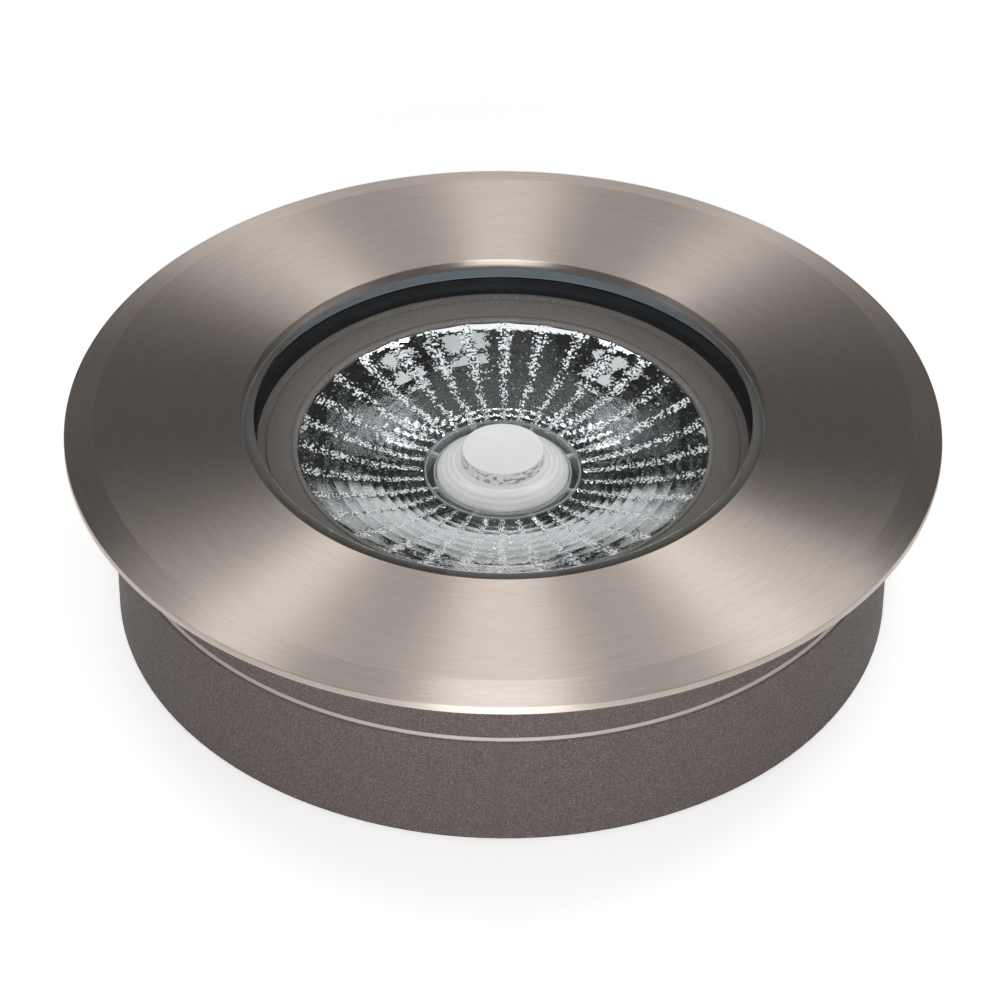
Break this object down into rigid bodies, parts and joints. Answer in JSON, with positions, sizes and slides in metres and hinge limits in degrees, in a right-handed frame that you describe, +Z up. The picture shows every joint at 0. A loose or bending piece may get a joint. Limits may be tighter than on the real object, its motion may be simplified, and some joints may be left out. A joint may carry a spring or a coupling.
{
  "type": "in-ground well light",
  "caption": "Round in-ground uplight: brushed steel cover ring, thick flush glass, faceted mirror dish with a frosted lens, low grey cast housing with a cable channel at the back.",
  "frame": {"origin": "on the light's axis, in the plane of the housing's underside", "axes": "+Z up out of the ground along the light's axis, +Y towards the side where the cable leaves, +X to the right seen from the front"},
  "size_m": [0.18, 0.18, 0.045],
  "materials": {
    "ring_steel": "circular brushed stainless steel, turned bright edges",
    "clear_glass": "clear toughened glass, ground edge",
    "edge_sealant": "dark grey sealant",
    "black_rubber": "matt black rubber",
    "trim_coat": "fine grey powder coat on aluminium",
    "mirror_coat": "vacuum-coated mirror facets",
    "frosted_plastic": "frosted translucent plastic",
    "clear_plastic": "clear plastic",
    "dark_board": "dark grey solder mask on an aluminium board",
    "thermal_grey": "soft grey heat-conducting pad",
    "white_ceramic": "white carrier",
    "yellow_phosphor": "yellow phosphor in silicone",
    "zinc_screws": "zinc-plated steel",
    "stainless_fixings": "stainless steel",
    "casting_coat": "grey sparkle powder coat on die-cast aluminium",
    "green_board": "green solder mask",
    "coil_tape": "amber tape over a ferrite core",
    "capacitor_sleeve": "black sleeve",
    "chip_black": "black moulded case",
    "terminal_grey": "light grey plastic",
    "terminal_brass": "brass",
    "lead_red_skin": "red silicone insulation",
    "lead_black_skin": "black silicone insulation",
    "gland_plastic": "black moulded plastic"
  },
  "bodies": {
    "root": {"bezel_ring": "ring_steel", "bezel_collar": "ring_steel", "bezel_studs": "ring_steel", "glass_disc": "clear_glass", "glass_bond_seal": "edge_sealant", "glass_gasket": "black_rubber", "bezel_seal": "black_rubber", "housing_gasket": "black_rubber", "lead_grommet": "black_rubber", "gland_washer": "black_rubber", "gland_bush": "black_rubber", "trim_ring": "trim_coat", "reflector": "mirror_coat", "lens": "frosted_plastic", "lens_holder": "clear_plastic", "led_board": "dark_board", "thermal_pad": "thermal_grey", "led_emitter": "white_ceramic", "led_phosphor": "yellow_phosphor", "board_screws": "zinc_screws", "driver_screws": "zinc_screws", "housing_screws": "stainless_fixings", "stud_washers": "stainless_fixings", "stud_nuts": "stainless_fixings", "upper_housing": "casting_coat", "lower_housing": "casting_coat", "driver_board": "green_board", "driver_transformer": "coil_tape", "driver_capacitors": "capacitor_sleeve", "driver_chips": "chip_black", "terminal_block": "terminal_grey", "terminal_screws": "terminal_brass", "led_lead_red": "lead_red_skin", "led_lead_black": "lead_black_skin", "gland_body": "gland_plastic", "gland_locknut": "gland_plastic", "gland_cap": "gland_plastic"}
  },
  "joints": []
}
